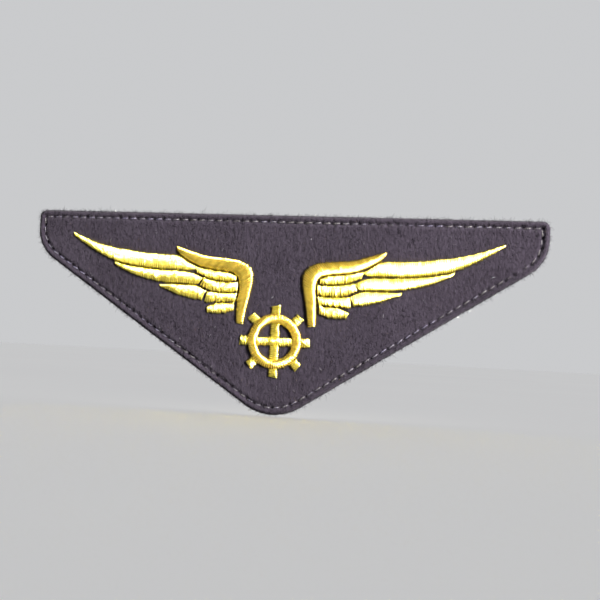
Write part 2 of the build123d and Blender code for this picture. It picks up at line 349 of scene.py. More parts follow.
def zigzag(rails, kind, seed, closed=False, extra=None):
    """The threads of a satin column: their two ends, and the height of each over the cloth."""
    rng = np.random.default_rng(seed)
    on_a, on_b, gone = rails
    inset = np.minimum(kind["inset"], np.linalg.norm(on_b - on_a, axis=1) / 5)[:, None]
    across = unit(on_b - on_a)
    on_a, on_b = on_a + inset * across, on_b - inset * across
    if not closed:
        on_a, on_b, gone = lengthened((on_a, on_b, gone), END_REACH)
    count = max(3, round(gone[-1] / STITCH_PITCH))
    first = np.linspace(0, gone[-1], count + 1)
    second = (first[:-1] + first[1:]) / 2 + kind["fan"] * lumpiness(rng, first[1:])
    second = np.sort(np.clip(second + rng.normal(0, ALONG_SCATTER, count), 0, gone[-1]))
    first[1:-1] += rng.normal(0, ALONG_SCATTER, count - 1)
    if closed:
        first = first[:-1]
    a, b = along(on_a, gone, first), along(on_b, gone, second)
    over_a = unit(a - along(on_b, gone, first))
    over_b = unit(b - along(on_a, gone, second))
    swell_a, swell_b = (kind["lumps"] * lumpiness(rng, at) for at in (first, second))
    drift_a = wander(rng, len(a), ACROSS_DRIFT)
    a = a + over_a * (swell_a + drift_a + rng.normal(0, kind["jitter"], len(a)))[:, None]
    drift_b = wander(rng, len(b), ACROSS_DRIFT)
    b = b + over_b * (swell_b + drift_b + rng.normal(0, kind["jitter"], len(b)))[:, None]
    there = np.arange(len(b))
    back = (there + 1) % len(a)
    ends = np.empty((2 * len(b), 2, 2))
    ends[0::2, 0], ends[0::2, 1] = a[there], b[there]
    ends[1::2, 0], ends[1::2, 1] = a[back], b[there]
    at = np.linspace(0, gone[-1], len(ends))
    into = np.full(len(ends), FAR_FROM_ENDS) if closed else np.minimum(at, gone[-1] - at)
    width = np.linalg.norm(ends[:, 0] - ends[:, 1], axis=1)
    height = crown_height(width, kind["most"], kind["usual_width"], into)
    height = height + rng.normal(0, HEIGHT_SCATTER, len(ends)) + 0.8 * np.repeat(swell_b, 2)
    height = height + np.repeat(rng.normal(0, HEIGHT_SHARE * kind["jitter"], len(b)), 2)
    height[0::2] += RIB
    height[1::2] -= RIB
    if extra is not None:
        height = height + extra(ends.mean(axis=1))
    return ends, height


def thread_paths(ends, height, kind, seed):
    """The path of each thread: up out of the cloth, over the crown and down into it."""
    angle = np.linspace(0, math.pi, ARC_STEPS)
    share = (1 - np.cos(angle)) / 2
    share = np.concatenate([[0], share, [1]])
    rng = np.random.default_rng(seed)
    off_middle = rng.normal(0, CREST_SHARE * kind["jitter"], (len(ends), 1))
    lopsided = rng.normal(0, LOPSIDED_SHARE * kind["jitter"], (len(ends) // 2, 1))
    lopsided = np.repeat(lopsided, 2, axis=0)
    rise = np.concatenate([[0], np.sin(angle).clip(0, 1) ** kind["fullness"], [0]])
    depth = FACE_D + height[:, None] * rise * (1 + lopsided * (2 * share - 1))
    share = share + off_middle * np.sin(math.pi * share) ** 2
    flat = ends[:, :1] + share[..., None] * (ends[:, 1:] - ends[:, :1])
    depth[:, 0] = depth[:, -1] = FACE_D - DIVE
    return np.concatenate([flat, depth[..., None]], axis=2)


# ------------ meshes


def skin(rings):
    """Closed tubes from rings of places (tube, step, side, xyz): places, faces and face UVs."""
    count, steps, sides, _ = rings.shape
    index = np.arange(count * steps * sides).reshape(count, steps, sides)
    turned = np.roll(index, -1, axis=2)
    quads = np.stack([index[:, :-1], turned[:, :-1], turned[:, 1:], index[:, 1:]], axis=-1)
    caps = np.concatenate([index[:, 0, ::-1], index[:, -1]])
    middle = rings.mean(axis=2)
    run = np.linalg.norm(np.diff(middle, axis=1), axis=2)
    gone = np.concatenate([np.zeros((count, 1)), np.cumsum(run, axis=1)], axis=1)
    turn = np.arange(sides) / sides
    uv = np.empty((count, steps - 1, sides, 4, 2))
    near, far = gone[:, :-1], gone[:, 1:]
    uv[..., 0] = np.stack([near, near, far, far], axis=-1)[:, :, None]
    uv[..., 1] = np.stack([turn, turn + 1 / sides, turn + 1 / sides, turn], axis=-1)
    cap_uv = np.zeros((2 * count, sides, 2))
    faces = [quads.reshape(-1, 4), caps.reshape(-1, sides)]
    return rings.reshape(-1, 3), faces, np.concatenate([uv.reshape(-1, 2), cap_uv.reshape(-1, 2)])


def tubes(paths, radius, sides=THREAD_SIDES, flatten=1.0):
    """Closed tubes along paths (tube, step, xyz). The radius may change along them."""
    paths = np.asarray(paths, float)
    along_it = unit(np.gradient(paths, axis=1))
    chord = paths[:, -1] - paths[:, 0]
    across = unit(np.cross([0.0, 0.0, 1.0], chord))[:, None]
    across = unit(across - (across * along_it).sum(axis=2, keepdims=True) * along_it)
    over = np.cross(along_it, across)
    angle = 2 * math.pi * np.arange(sides) / sides
    ring = np.cos(angle)[:, None] * across[:, :, None]
    ring = ring + flatten * np.sin(angle)[:, None] * over[:, :, None]
    thick = np.broadcast_to(np.asarray(radius, float), paths.shape[:2])
    return skin(paths[:, :, None] + thick[..., None, None] * ring)


def make_piece(name, places, faces, materials, tones=None, uv=None, stands_for=()):
    """A smooth mesh object that rides on the badge."""
    mesh = bpy.data.meshes.new(name)
    sizes = np.concatenate([np.full(len(f), f.shape[1]) for f in faces])
    corners = np.concatenate([np.asarray(f).ravel() for f in faces])
    mesh.vertices.add(len(places))
    mesh.vertices.foreach_set("co", world(places).ravel())
    mesh.loops.add(len(corners))
    mesh.loops.foreach_set("vertex_index", corners)
    mesh.polygons.add(len(sizes))
    mesh.polygons.foreach_set("loop_start", np.concatenate([[0], np.cumsum(sizes)[:-1]]))
    mesh.polygons.foreach_set("use_smooth", np.ones(len(sizes), bool))
    for material in materials:
        mesh.materials.append(material)
    if tones is not None:
        mesh.polygons.foreach_set("material_index", tones)
    if uv is not None:
        mesh.uv_layers.new(name="thread").data.foreach_set("uv", np.asarray(uv, float).ravel())
    mesh.update(calc_edges=True)
    piece = bpy.data.objects.new(name, mesh)
    bpy.context.scene.collection.objects.link(piece)
    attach(piece, "root")
    if stands_for:
        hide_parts(*stands_for)
    return piece


def over_faces(tone, steps, sides):
    """Each tube's tone, given to all its wall faces and both its end faces."""
    return np.concatenate([np.repeat(tone, (steps - 1) * sides), np.tile(tone, 2)])


def tone_by_tube(rng, count, steps, sides, tones):
    """A material number for each face of each tube, one tone a tube, drifting slowly."""
    drift = np.cumsum(rng.normal(0, 0.55, count))
    tone = np.floor((np.sin(drift) * 0.5 + 0.5) * 0.999 * tones).astype(int)
    tone = np.where(rng.random(count) < 0.35, rng.integers(0, tones, count), tone)
    return over_faces(tone, steps, sides)


def thread_piece(name, paths, materials, seed, stands_for=(), radius=THREAD_R):
    """A piece made of threads."""
    places, faces, uv = tubes(paths, radius, flatten=0.85)
    rng = np.random.default_rng(seed)
    tones = tone_by_tube(rng, len(paths), paths.shape[1], THREAD_SIDES, len(materials))
    return make_piece(name, places, faces, materials, tones, uv, stands_for)


def fibre_piece(name, paths, thickness, materials, tone):
    """A piece made of loose fibres, thick as told at root, middle and tip."""
    places, faces, uv = tubes(paths, np.array(thickness), FIBRE_SIDES)
    tones = over_faces(tone, paths.shape[1], FIBRE_SIDES)
    make_piece(name, places, faces, materials, tones, uv)


# ------------ materials


def new_material(name):
    """A material with its Principled shader, and a way to add nodes to it."""
    material = bpy.data.materials.new(name)
    material.use_nodes = True
    tree = material.node_tree
    shader = tree.nodes["Principled BSDF"]

    def node(kind, values=None, **settings):
        made = tree.nodes.new(kind)
        for key, value in settings.items():
            setattr(made, key, value)
        for key, value in (values or {}).items():
            if isinstance(value, bpy.types.NodeSocket):
                tree.links.new(value, made.inputs[key])
            else:
                made.inputs[key].default_value = value
        return made

    def link(output, socket):
        tree.links.new(output, shader.inputs[socket])

    return material, shader, node, link


def thread_material(name, colour, rough, specular, ior=1.5, metal=0.0, coat=0.0):
    """Filament thread: fine lines along it in the gloss and the bump."""
    material, shader, node, link = new_material(name)
    shader.inputs["Base Color"].default_value = (*colour, 1)
    shader.inputs["Specular IOR Level"].default_value = specular
    shader.inputs["Metallic"].default_value = metal
    shader.inputs["IOR"].default_value = ior
    shader.inputs["Coat Weight"].default_value = coat
    shader.inputs["Coat Roughness"].default_value = 0.22
    shader.inputs["Coat IOR"].default_value = 1.8
    uv = node("ShaderNodeUVMap", uv_map="thread")
    lines = node("ShaderNodeMapping", {"Vector": uv.outputs["UV"], "Scale": (1.6, 9.0, 1.0)})
    filament = node(
        "ShaderNodeTexNoise",
        {"Vector": lines.outputs["Vector"], "Scale": 1.0, "Detail": 3.0, "Roughness": 0.6},
    )
    spread = {"From Min": 0.3, "From Max": 0.7, "To Min": rough[0], "To Max": rough[1]}
    gloss = node("ShaderNodeMapRange", {"Value": filament.outputs["Fac"], **spread})
    bump = node(
        "ShaderNodeBump",
        {"Height": filament.outputs["Fac"], "Strength": 0.25, "Distance": 0.03 * MM},
    )
    link(gloss.outputs["Result"], "Roughness")
    link(bump.outputs["Normal"], "Normal")
    return material


def thread_tones(name, colour, spread, rough, specular, **gloss):
    """The same thread in a few tones: dye that differs at random, and lighter and darker copies painted for
    how each thread lies and catches the light, the lighter ones whiter as a painted highlight.
    """
    made = []
    for number, tone in enumerate(spread):
        shade = [c * (1 + tone) for c in colour]
        shade[2] = colour[2] * (1 + 2.2 * tone)
        made.append(thread_material(f"{name}_{number + 1}", shade, rough, specular, **gloss))
    return made


def fibrous_material(name, dark, mid, light, grain, rough, sheen, bump_mm):
    """Cloth of loose fibres: streaks in colour and bump, long one way where grain says so."""
    material, shader, node, link = new_material(name)
    place = node("ShaderNodeTexCoord")
    streaks = node(
        "ShaderNodeMapping",
        {"Vector": place.outputs["Object"], "Scale": tuple(1 / (g * MM) for g in grain)},
    )
    tangle = {"Scale": 1.0, "Detail": 5.0, "Roughness": 0.62, "Distortion": 0.35}
    fibres = node("ShaderNodeTexNoise", {"Vector": streaks.outputs["Vector"], **tangle})
    clouds = node(
        "ShaderNodeTexNoise",
        {"Vector": place.outputs["Object"], "Scale": 1 / (9 * MM), "Detail": 2.0},
    )
    mixed = node(
        "ShaderNodeMath",
        {0: clouds.outputs["Fac"], 1: 0.35, 2: fibres.outputs["Fac"]},
        operation="MULTIPLY_ADD",
    )
    ramp = node("ShaderNodeValToRGB", {"Fac": mixed.outputs["Value"]})
    stops = ramp.color_ramp.elements
    stops[0].position, stops[0].color = 0.48, (*dark, 1)
    stops[1].position, stops[1].color = 0.92, (*light, 1)
    stops.new(0.66).color = (*mid, 1)
    bump = node(
        "ShaderNodeBump",
        {"Height": fibres.outputs["Fac"], "Strength": 0.8, "Distance": bump_mm * MM},
    )
    link(ramp.outputs["Color"], "Base Color")
    link(bump.outputs["Normal"], "Normal")
    shader.inputs["Roughness"].default_value = rough
    shader.inputs["Specular IOR Level"].default_value = 0.07
    shader.inputs["Sheen Weight"].default_value = sheen
    shader.inputs["Sheen Roughness"].default_value = 0.6
    return material


def fibre_tones(name, tones):
    """Loose fibres in a few tones."""
    return [thread_material(f"{name}_{n + 1}", tone, (0.6, 0.85), 0.07) for n, tone in enumerate(tones)]


# Gold tones: partly random dye, partly painted light and shade for how each thread lies.
GOLD_DYE_AND_PAINTED_SHADING = (-0.20, -0.09, 0.0, 0.06, 0.12)
GOLD_GLOSS = {"rough": (0.18, 0.30), "specular": 1.0, "metal": 0.97, "ior": 2.8, "coat": 0.45}
gold = thread_tones("gold_thread", (0.75, 0.645, 0.08), GOLD_DYE_AND_PAINTED_SHADING, **GOLD_GLOSS)
# The arms and the rim take a darker, more orange copy of the same gold thread: painted shade where the key
# light's highlight misses them.
shade_painted_gold = thread_tones("shade_painted_gold_thread", (0.75, 0.56, 0.055), GOLD_DYE_AND_PAINTED_SHADING, **GOLD_GLOSS)
gold_under = thread_tones("gold_underlay", (0.26, 0.17, 0.025), (-0.1,), (0.4, 0.6), 0.3)
white = thread_tones("bobbin_thread", (0.72, 0.71, 0.67), (-0.08, 0.0, 0.06), (0.45, 0.6), 0.35)

# Known fault: the seam's, felt's and nap's tones are far darker than real navy cloth, to balance the
# strong key light. In plain light the patch is nearly black, and they need about ten times as much.
seam = thread_tones(
    "seam_thread", (0.016, 0.0135, 0.019), (-0.2, 0.0, 0.3), (0.42, 0.58), 0.4
)
felt = fibrous_material(
    "navy_wool_felt",
    (0.0036, 0.0023, 0.0044),
    (0.0056, 0.0040, 0.0067),
    (0.0094, 0.0072, 0.0109),
    (0.45, 0.45, 1.0),
    0.95,
    0.02,
    0.3,
)
nap = fibre_tones(
    "navy_wool_fibre",
    [
        (0.0033, 0.0021, 0.0040),
        (0.0046, 0.0032, 0.0055),
        (0.0061, 0.0044, 0.0072),
        (0.0081, 0.0062, 0.0093),
        (0.0155, 0.0130, 0.0172),
    ],
)
stray = fibre_tones("pale_stray_fibre", [(0.06, 0.056, 0.064), (0.12, 0.115, 0.125)])
nonwoven = fibrous_material(
    "stabiliser_nonwoven",
    (0.42, 0.41, 0.385),
    (0.56, 0.55, 0.52),
    (0.70, 0.69, 0.66),
    (1.1, 1.1, 0.9),
    0.85,
    0.1,
    0.08,
)
nonwoven_fibres = fibre_tones(
    "stabiliser_fibre", [(0.46, 0.45, 0.42), (0.60, 0.59, 0.56), (0.74, 0.73, 0.70)]
)

# ------------ embroidery

FEATHERS = [f"long_feather_{n}" for n in (1, 2, 3)] + [f"covert_feather_{n}" for n in (1, 2, 3, 4)]
# Of each kind of column: its height over the cloth at its usual width, how square its crown is
# (1 is a half ellipse), its swellings, how far its threads fan out and in, how far its needle
# points stand inside its outline (outside it, if negative), and how unevenly it is sewn.
# The arms and the rim are sewn in the gold copy with painted shade.
ARM = dict(
    most=0.72, usual_width=2.3, fullness=0.75, lumps=0.015, fan=0.0, inset=0.01, jitter=0.05,
    thread=shade_painted_gold,
)
FEATHER = dict(
    most=0.56, usual_width=2.0, fullness=0.5, lumps=0.03, fan=0.06, inset=-0.05, jitter=0.06, thread=gold
)
COVERT = dict(
    most=0.60, usual_width=1.8, fullness=0.58, lumps=0.08, fan=0.22, inset=-0.08, jitter=0.055, thread=gold
)
RIM = dict(
    most=0.84, usual_width=2.0, fullness=0.78, lumps=0.015, fan=0.0, inset=0.03, jitter=0.045,
    thread=shade_painted_gold,
)
SPOKE = dict(
    most=0.5, usual_width=1.8, fullness=0.7, lumps=0.05, fan=0.1, inset=-0.08, jitter=0.06, thread=gold
)
TOOTH = dict(
    most=0.6, usual_width=2.0, fullness=0.62, lumps=0.04, fan=0.1, inset=-0.05, jitter=0.06, thread=gold
)

satin_outlines = []
columns = {"left_wing": [], "right_wing": [], "wheel": []}


def satin(name, rails, kind, seed, group, closed=False, extra=None):
    """One satin column in place of its CAD node, kept for the padding and the back as well."""
    ends, height = zigzag(rails, kind, seed, closed, extra)
    paths = thread_paths(ends, height, kind, seed)
    thread_piece(f"{name}_satin", paths, kind["thread"], seed, (name,))
    columns[group].append((rails, kind, ends, closed, extra))
    if closed:
        satin_outlines.append((rails[0], rails[1]))
    else:
        satin_outlines.append((np.concatenate([rails[0], rails[1][::-1]]), None))


for side in ("left", "right"):
    for number, part in enumerate(["wing_arm", *FEATHERS]):
        node_name = f"{side}_{part}"
        kind = ARM if part == "wing_arm" else COVERT if "covert" in part else FEATHER
        outward = -1 if side == "left" else 1
        lean = (-0.7 * outward, 0.7) if part == "wing_arm" else (0.2 * (outward - 1), 1.0)
        rails = slanted(squared(rails_of(node_name)), lean)
        satin(node_name, rails, kind, 100 + number, f"{side}_wing")


def ring_rails():
    """The rim's two edges all the way round, from the top."""
    loops = outline_loops("wheel_rim", FACE_D)
    r_out, r_in = (np.ptp(loop[:, 0]) / 2 for loop in (loops[0], loops[-1]))
    angle = np.linspace(0, 2 * math.pi, 181)
    round_it = np.stack([np.sin(angle), np.cos(angle)], axis=1)
    on_out, on_in = (np.array([0, HUB_UP]) + r * round_it for r in (r_out, r_in))
    return on_out, on_in, angle * (r_out + r_in) / 2


def over_crossing(middles):
    """How much higher the level spoke runs where it lies over the upright one."""
    return 0.42 * np.exp(-((np.abs(middles[:, 0]) / 1.1) ** 4))


satin("wheel_spoke_vertical", squared(spoke_rails("wheel_spoke_vertical")), SPOKE, 201, "wheel")
satin(
    "wheel_spoke_horizontal",
    squared(spoke_rails("wheel_spoke_horizontal")),
    SPOKE,
    202,
    "wheel",
    extra=over_crossing,
)
satin("wheel_rim", ring_rails(), RIM, 203, "wheel", closed=True)
for number in range(1, 9):
    tooth = f"wheel_tooth_{number}"
    satin(tooth, squared(tooth_rails(tooth)), TOOTH, 210 + number, "wheel")


def padding(group, stands_for):
    """The padding stitches that crown a group's columns, as one low core under each."""
    made = []
    for (on_a, on_b, gone), kind, _, closed, extra in columns[group]:
        margin = 0.0 if closed else min(0.3, gone[-1] / 5)
        at = np.linspace(margin, gone[-1] - margin, max(4, round(gone[-1] / PADDING_STEP)))
        a, b = along(on_a, gone, at), along(on_b, gone, at)
        width = np.linalg.norm(a - b, axis=1)
        into = np.full(len(at), FAR_FROM_ENDS) if closed else np.minimum(at, gone[-1] - at)
        height = crown_height(width, kind["most"], kind["usual_width"], into) - PADDING_UNDER
        if extra is not None:
            height = height + extra((a + b) / 2)
        angle = np.linspace(0.1 * math.pi, 0.9 * math.pi, 9)
        share = 0.5 - 0.46 * np.cos(angle)
        flat = a[:, None] + share[None, :, None] * (b - a)[:, None]
        crown = (height[:, None] + PADDING_UNDER) * np.sin(angle) ** kind["fullness"]
        depth = FACE_D - PADDING_UNDER + crown
        made.append(np.concatenate([flat, depth[..., None]], axis=2))
    places, faces, uvs, start = [], [], [], 0
    for rings in made:
        p, f, uv = skin(rings[None, :, ::-1])
        places.append(p)
        faces += [part + start for part in f]
        uvs.append(uv)
        start += len(p)
    uv = np.concatenate(uvs)
    make_piece(
        f"{group}_padding", np.concatenate(places), faces, gold_under, None, uv,
        stands_for,
    )


for group in columns:
    padding(group, (f"{group}_underlay",))

# ------------ edge seam


def seam_paths(name, slant):
    """The two plies of every seam stitch, from where the CAD's stitches lie."""
    paths = []
    needles = []
    for part in loose_parts(name):
        flat = part[:, :2]
        middle = (flat.max(axis=0) + flat.min(axis=0)) / 2
        far = flat[np.argmax(np.linalg.norm(flat - middle, axis=1))]
        heading = unit(far - middle)
        if heading[0] < 0:
            heading = -heading
        half = abs((flat - middle) @ heading).max()
        needles += [middle - heading * (half + 0.1), middle + heading * (half + 0.1)]
        turned = np.array(
            [
                heading[0] * math.cos(slant) - heading[1] * math.sin(slant),
                heading[0] * math.sin(slant) + heading[1] * math.cos(slant),
            ]
        )
        across = np.array([-turned[1], turned[0]])
        low, high = part[:, 2].min(), part[:, 2].max()
        share = np.linspace(-1, 1, 15)
        arch = 1 - np.abs(share) ** SEAM_ARCH
        run = middle + share[:, None] * half * turned
        top = name.endswith("top_thread")
        lie = high - 0.12 if top else low + 0.1
        deep = low - 0.45 if top else high + 0.2
        depth = deep + (lie - deep) * arch
        for ply in (0, math.pi):
            spin = 2 * math.pi * share * half / SEAM_TWIST + ply
            wound = run + SEAM_PLY_OFF * np.cos(spin)[:, None] * across
            wound_depth = depth + SEAM_PLY_OFF * np.sin(spin)
            paths.append(np.concatenate([wound, wound_depth[:, None]], axis=1))
    return np.array(paths), np.array(needles)


top_paths, needle_points = seam_paths("edge_seam_top_thread", SEAM_SLANT)
bobbin_paths, _ = seam_paths("edge_seam_bobbin_thread", -SEAM_SLANT)
thread_piece(
    "edge_seam_top_stitches", top_paths, seam, 301,
    ("edge_seam_top_thread",), SEAM_PLY_R,
)
thread_piece(
    "edge_seam_bobbin_stitches", bobbin_paths, seam, 302,
    ("edge_seam_bobbin_thread",), SEAM_PLY_R,
)

# ------------ felt

cloth_outline = outline_loops("ground_cloth", BACKING_T)[0]


def tree_of(points):
    """A tree that finds the nearest of some points (x, up)."""
    tree = kdtree.KDTree(len(points))
    for i, (x, up) in enumerate(points):
        tree.insert((x, up, 0), i)
    tree.balance()
    return tree


def nearest(tree, points):
    """For each point, the nearest place in a tree and its distance."""
    found = [tree.find((x, up, 0)) for x, up in points]
    return np.array([f[0][:2] for f in found]), np.array([f[2] for f in found])


def inside(points, loop):
    """Whether each point lies inside a closed outline."""
    result = np.zeros(len(points), bool)
    boxed = ((points >= loop.min(axis=0)) & (points <= loop.max(axis=0))).all(axis=1)
    x, up = points[boxed].T
    odd = np.zeros(len(x), bool)
    for (x0, u0), (x1, u1) in zip(loop, np.roll(loop, -1, axis=0)):
        if u0 != u1:
            odd ^= ((u0 > up) != (u1 > up)) & (x < x0 + (up - u0) * (x1 - x0) / (u1 - u0))
    result[boxed] = odd
    return result


def field(seed, size=(64, 64)):
    """A smooth random field over the badge, repeated past its edges, from -1 to 1."""
    grid = np.random.default_rng(seed).uniform(-1, 1, size)

    def sample(x, y):
        x0, y0 = np.floor(x).astype(int), np.floor(y).astype(int)
        fx, fy = x - x0, y - y0
        fx, fy = fx * fx * (3 - 2 * fx), fy * fy * (3 - 2 * fy)
        a, b = grid[x0 % size[0], y0 % size[1]], grid[(x0 + 1) % size[0], y0 % size[1]]
        c, d = grid[x0 % size[0], (y0 + 1) % size[1]], grid[(x0 + 1) % size[0], (y0 + 1) % size[1]]
        return (a * (1 - fx) + b * fx) * (1 - fy) + (c * (1 - fx) + d * fx) * fy

    return sample


ripples = field(401)
lumps = field(402, (97, 89))
tufts = field(403, (211, 173))
hairs = field(404, (401, 307))

edge_line = resampled(joined_up(cloth_outline), 0.12)
edge_tree = tree_of(edge_line)
needle_tree = tree_of(needle_points)
satin_edges = [loop for pair in satin_outlines for loop in pair if loop is not None]
satin_tree = tree_of(np.concatenate([resampled(joined_up(loop), 0.15) for loop in satin_edges]))


def under_satin(points):
    """Whether each point is covered by embroidery."""
    covered = np.zeros(len(points), bool)
    for outer, hole in satin_outlines:
        within = inside(points, outer)
        if hole is not None:
            within &= ~inside(points, hole)
        covered |= within
    return covered


def felt_depth(points):
    """The depth of the felt's face at points (x, up)."""
    x, up = points.T
    edge = nearest(edge_tree, points)[1]
    edge = np.where(inside(points, cloth_outline), edge, 0)
    needle = nearest(needle_tree, points)[1]
    satin_near = nearest(satin_tree, points)[1]
    satin_near = np.where(under_satin(points), 0, satin_near)
    depth = FACE_D + 0.14 * ripples(x / 13, up / 10) + 0.05 * lumps(x / 3.1, up / 3.7)
    depth += 0.035 * tufts(x / 0.75, up / 1.7) + 0.045 * hairs(x / 0.33, up / 0.95)
    depth -= mound(satin_near, *SATIN_DIMPLE)
    depth -= mound(edge - SEAM_INSET, *GROOVE)
    depth -= mound(needle, *NEEDLE_DIMPLE)
    depth += mound(edge - LIP_IN, *EDGE_LIP)
    depth += mound(edge - SWELL_IN, *INNER_SWELL)
    roll = np.clip(1 - edge / ROLL_R, 0, 1)
    return depth - ROLL_R * (1 - np.sqrt(1 - roll**2))


def sheet_grid(outline, cell):
    """A grid of cells that fills an outline, its border moved on to it: points and quads."""
    low, high = outline.min(axis=0) - cell, outline.max(axis=0) + cell
    nx, ny = (np.ceil((high - low) / cell)).astype(int) + 1
    steps_x, steps_y = low[0] + cell * np.arange(nx), low[1] + cell * np.arange(ny)
    gx, gy = np.meshgrid(steps_x, steps_y, indexing="ij")
    points = np.stack([gx.ravel(), gy.ravel()], axis=1)
    tree = tree_of(resampled(joined_up(outline), cell / 3))
    close, far = nearest(tree, points)
    signed = np.where(inside(points, outline), far, -far)
    index = np.arange(nx * ny).reshape(nx, ny)
    quads = np.stack([index[:-1, :-1], index[1:, :-1], index[1:, 1:], index[:-1, 1:]], axis=-1)
    quads = quads.reshape(-1, 4)
    quads = quads[(signed[quads] > -0.5 * cell).all(axis=1)]
    snap = signed < 0.35 * cell
    points[snap] = close[snap]
    used, quads = np.unique(quads, return_inverse=True)
    points = points[used]
    return points, quads.reshape(-1, 4), border_of(quads.reshape(-1, 4))


def border_of(quads):
    """The loop of points round a sheet of quads."""
    edges = np.concatenate([quads[:, [k, (k + 1) % 4]] for k in range(4)])
    known = set(map(tuple, edges.tolist()))
    follows = {a: b for a, b in sorted(known) if (b, a) not in known}
    start = min(follows)
    loop = [start]
    while follows[loop[-1]] != start:
        loop.append(follows[loop[-1]])
    return np.array(loop)


def closed_sheet(outline, cell, front_depth, back_depth, bulge):
    """A thick sheet: a fine front, a side wall that bulges a little, and a flat back."""
    points, quads, border = sheet_grid(outline, cell)
    front = np.concatenate([points, front_depth(points)[:, None]], axis=1)
    rim = front[border]
    tangent = unit(np.roll(rim[:, :2], 1, axis=0) - np.roll(rim[:, :2], -1, axis=0))
    outward = tangent[:, ::-1] * [-1, 1]
    places, faces, last = [front], [quads], border
    count = len(front)
    for share, out in ((0.35, bulge), (0.75, 0.8 * bulge), (1.0, 0.0)):
        ring = rim.copy()
        ring[:, :2] += outward * out
        ring[:, 2] += share * (back_depth - rim[:, 2])
        index = count + np.arange(len(ring))
        places.append(ring)
        faces.append(np.stack([last, index, np.roll(index, -1), np.roll(last, -1)], axis=1))
        last, count = index, count + len(ring)
    faces.append(last[None, ::-1])
    return np.concatenate(places), faces


places, faces = closed_sheet(cloth_outline, FELT_CELL, felt_depth, BACKING_T, BULGE)
felt_piece = make_piece(
    "felt_patch", places, faces, [felt], stands_for=("ground_cloth",)
)


def fibre_paths(rng, count, points, lean, length, lift, surface):
    """Short fibres that lie on a surface, each up out of it and back in."""
    heading = math.pi / 2 + rng.normal(0, lean, count)
    reach = rng.uniform(*length, count)
    bend = rng.normal(0, 0.35, count)
    step = np.stack([np.cos(heading), np.sin(heading)], axis=1) * reach[:, None] / 2
    bent = np.stack([np.cos(heading + bend), np.sin(heading + bend)], axis=1) * reach[:, None] / 2
    flat = np.stack([points - step, points, points + bent], axis=1)
    depth = surface(points)[:, None] + np.stack(
        [np.full(count, -0.12), rng.uniform(*lift, count), rng.uniform(-0.12, 0.5 * lift[1], count)], axis=1
    )
    return np.concatenate([flat, depth[..., None]], axis=2)


def scattered(rng, count, outline, margin):
    """Random points inside an outline, away from its edge and from the embroidery."""
    low, high = outline.min(axis=0), outline.max(axis=0)
    points = rng.uniform(low, high, (4 * count, 2))
    points = points[inside(points, outline)]
    points = points[nearest(edge_tree, points)[1] > margin]
    return points[:count]


def felt_nap():
    """The felt's nap: short matted fibres that lean every way, rather more up than across."""
    rng = np.random.default_rng(501)
    points = scattered(rng, 14000, cloth_outline, 0.25)
    points = points[~under_satin(points)]
    points = points[nearest(satin_tree, points)[1] > 0.25][:11500]
    paths = fibre_paths(rng, len(points), points, 1.1, (0.3, 1.2), (0.02, 0.13), felt_depth)
    tone = rng.choice(len(nap), len(points), p=[0.16, 0.30, 0.30, 0.19, 0.05])
    fibre_piece("felt_nap", paths, [0.03, 0.034, 0.012], nap, tone)


def edge_fuzz():
    """Fibres that stand out of the felt's cut edge."""
    rng = np.random.default_rng(502)
    count = 2600
    pick = rng.integers(0, len(edge_line) - 1, count)
    points = edge_line[pick]
    tangent = unit(edge_line[pick + 1] - points)
    outward = np.stack([tangent[:, 1], -tangent[:, 0]], axis=1)
    outward *= np.where(inside(points + 0.2 * outward, cloth_outline), -1, 1)[:, None]
    heading = unit(outward + rng.normal(0, 0.7, (count, 1)) * tangent)
    reach = rng.gamma(2.0, 0.16, count)[:, None] + 0.1
    depth = rng.uniform(BACKING_T + 0.15, FACE_D - 0.25, count)
    curl = rng.normal(0, 0.25, (count, 1)) * tangent
    root, halfway = points - 0.1 * outward, points + heading * reach * 0.5
    flat = np.stack([root, halfway, points + (heading + curl) * reach], axis=1)
    depth_halfway = depth + rng.normal(0.03, 0.08, count)
    rise = np.stack([depth, depth_halfway, depth + rng.normal(0.08, 0.2, count)], axis=1)
    paths = np.concatenate([flat, rise[..., None]], axis=2)
    tone = rng.choice(len(nap), count, p=[0.2, 0.3, 0.3, 0.15, 0.05])
    fibre_piece("felt_edge_fuzz", paths, [0.032, 0.026, 0.01], nap, tone)


def stray_fibres():
    """A few pale fibres caught on the nap, as wool picks them up."""
    rng = np.random.default_rng(503)
    points = scattered(rng, 40, cloth_outline, 2.2)
    points = points[~under_satin(points)]
    paths = fibre_paths(rng, len(points), points, 1.1, (0.4, 1.5), (0.09, 0.2), felt_depth)
    tone = rng.choice(len(stray), len(points))
    fibre_piece("felt_stray_fibres", paths, [0.02, 0.03, 0.014], stray, tone)


felt_nap()
edge_fuzz()
stray_fibres()

# ------------ backing and the lower threads

backing_outline = outline_loops("stabiliser_backing", BACKING_T)[0]
back_fibres = field(601, (151, 151))
back_ripples = field(602)


def back_hollow(points):
    """How far the backing's rear face is pressed in: by the seam, and a little everywhere."""
    x, up = points.T
    needle = nearest(needle_tree, points)[1]
    edge = nearest(edge_tree, points)[1]
    hollow = 0.03 + 0.02 * back_fibres(x / 0.6, up / 0.6) + 0.02 * back_ripples(x / 6, up / 6)
    hollow += mound(edge - SEAM_INSET, *BACK_GROOVE) + mound(needle, *BACK_DIMPLE)
    return np.clip(hollow, 0.005, BACKING_T - 0.08)


def stabiliser_sheet():
    """The backing, its fine face to the rear and its flat face against the felt."""
    places, faces = closed_sheet(backing_outline, BACKING_CELL, back_hollow, BACKING_T - 0.02, 0.03)
    faces = [f[:, ::-1] for f in faces]
    piece = make_piece(
        "stabiliser_sheet", places, faces, [nonwoven],
        stands_for=("stabiliser_backing",),
    )


